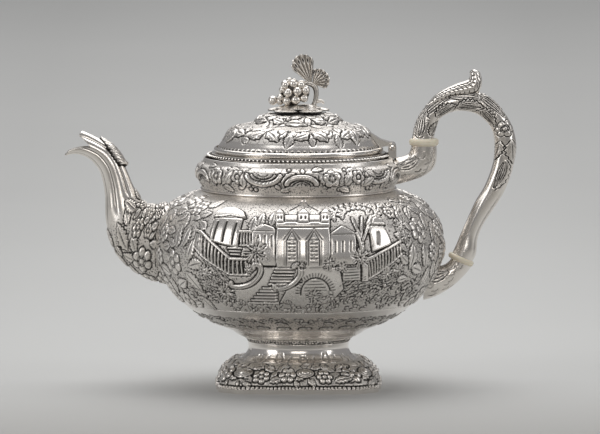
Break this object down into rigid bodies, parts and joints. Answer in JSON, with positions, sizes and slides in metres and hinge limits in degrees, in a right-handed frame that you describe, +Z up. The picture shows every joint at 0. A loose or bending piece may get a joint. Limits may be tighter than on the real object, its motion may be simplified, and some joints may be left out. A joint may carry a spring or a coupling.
{
  "type": "silver teapot",
  "caption": "Round footed silver teapot with a curved spout, a looped handle with ivory rings, and a hinged domed lid topped by a bunch of grapes.",
  "frame": {"origin": "centre of the pot's axis on the face that the foot stands on", "axes": "+Z up, +X towards the handle, -X towards the spout"},
  "size_m": [0.3072, 0.1978, 0.2263],
  "materials": {
    "chased_silver": "hammered and chased silver with dark tarnish left in the recesses",
    "cast_silver": "cast and chased silver, soft polish, tarnish in the recesses",
    "handle_silver": "polished silver with engraved leaves, worn by hands",
    "plain_silver": "plain polished silver with fine scratches",
    "inner_silver": "unpolished silver, slightly tarnished",
    "ivory": "old ivory, cream, softly polished"
  },
  "bodies": {
    "pot": {"body_shell": "chased_silver", "foot_plate": "cast_silver", "foot_edge_band": "plain_silver", "pedestal": "plain_silver", "base_band": "cast_silver", "neck_collar": "chased_silver", "neck_wire": "plain_silver", "mouth_ring": "plain_silver", "rope_rim": "cast_silver", "spout_near_half": "cast_silver", "spout_far_half": "cast_silver", "spout_lip_leaf": "cast_silver", "upper_handle_socket": "cast_silver", "lower_handle_socket": "cast_silver", "handle_grip": "handle_silver", "thumb_leaf": "cast_silver", "upper_ivory_ring": "ivory", "lower_ivory_ring": "ivory", "handle_rivets": "plain_silver", "hinge_bracket": "plain_silver", "hinge_pin": "plain_silver"},
    "lid": {"lid_hinge_leaf": "cast_silver", "lid_dome": "chased_silver", "lid_rim": "plain_silver", "lid_bezel": "inner_silver", "finial_leaf_base": "cast_silver", "finial_grapes": "cast_silver", "finial_stalk": "cast_silver", "finial_left_leaf": "cast_silver", "finial_right_leaf": "cast_silver", "finial_stud": "inner_silver", "finial_washer": "inner_silver", "finial_nut": "inner_silver"}
  },
  "joints": [
    {"name": "lid_hinge", "type": "hinge", "parent": "pot", "child": "lid", "pos_m": [0.0637, 0, 0.1635], "axis": [0, 1, 0], "range_deg": [0, 80]}
  ]
}
